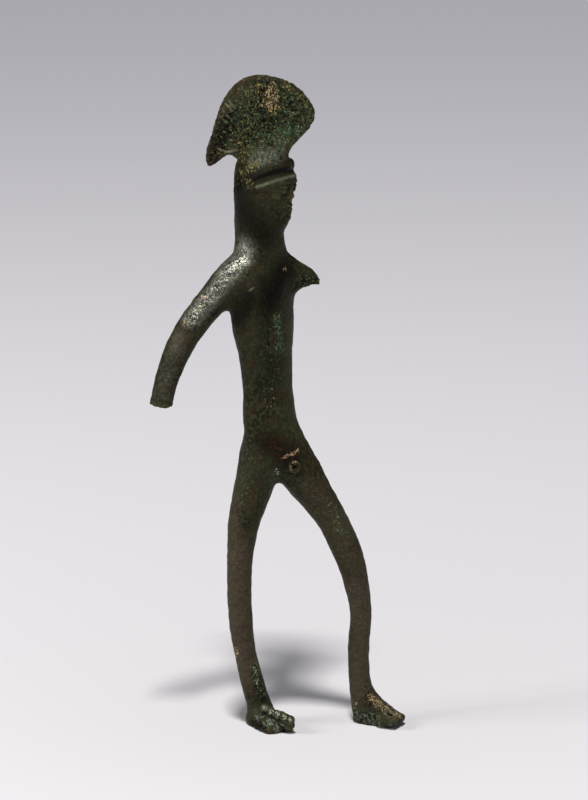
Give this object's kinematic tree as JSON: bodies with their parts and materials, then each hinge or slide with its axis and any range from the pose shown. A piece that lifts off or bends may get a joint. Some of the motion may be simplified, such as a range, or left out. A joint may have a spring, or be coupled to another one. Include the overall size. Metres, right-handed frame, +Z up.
{
  "type": "cast bronze warrior statuette",
  "caption": "Slender striding nude warrior in a helmet with a tall fore-and-aft crest, cast solid in one piece, with one arm broken off at the wrist and the other near the shoulder.",
  "frame": {"origin": "on the standing surface, under the middle of the figure's outline", "axes": "+Z up, the figure faces -Y and its own left is +X"},
  "size_m": [0.059, 0.0466, 0.1799],
  "materials": {
    "patinated_bronze": "dark green-brown patina, satin, pitted, with pale green crust and tan worn spots"
  },
  "bodies": {
    "root": {"warrior_figure": "patinated_bronze"}
  },
  "joints": []
}
